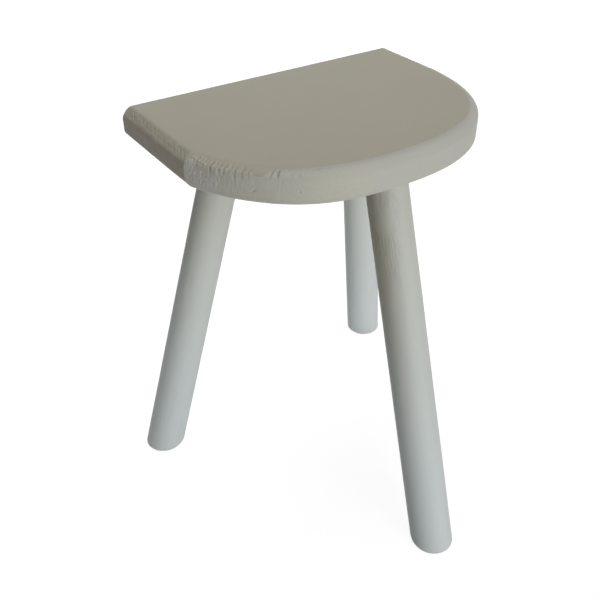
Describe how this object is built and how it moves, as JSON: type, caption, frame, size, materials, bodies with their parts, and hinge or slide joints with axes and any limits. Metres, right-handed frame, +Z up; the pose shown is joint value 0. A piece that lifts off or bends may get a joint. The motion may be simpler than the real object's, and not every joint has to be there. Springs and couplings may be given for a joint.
{
  "type": "milking stool",
  "caption": "Low painted wooden milking stool: a D-shaped plank seat with a rounded rim on splayed round legs, for sitting beside an animal.",
  "frame": {"origin": "on the floor under the middle of the stool's bounding box", "axes": "+Z up, straight back edge of the seat towards +Y, curved front towards -Y, +X to the right of someone who faces +Y"},
  "size_m": [0.3561, 0.357, 0.387],
  "materials": {
    "seat_paint": "matt chalky greige paint over wood, brushed, chipped and torn at the rim",
    "leg_paint": "matt pale grey paint over wood, brushed lengthways, grain and fine cracks showing",
    "bare_wood": "unpainted split oak"
  },
  "bodies": {
    "root": {"seat": "seat_paint", "leg_back_left": "leg_paint", "leg_back_right": "leg_paint", "leg_front": "leg_paint", "wedge_back_left": "bare_wood", "wedge_back_right": "bare_wood", "wedge_front": "bare_wood"}
  },
  "joints": []
}
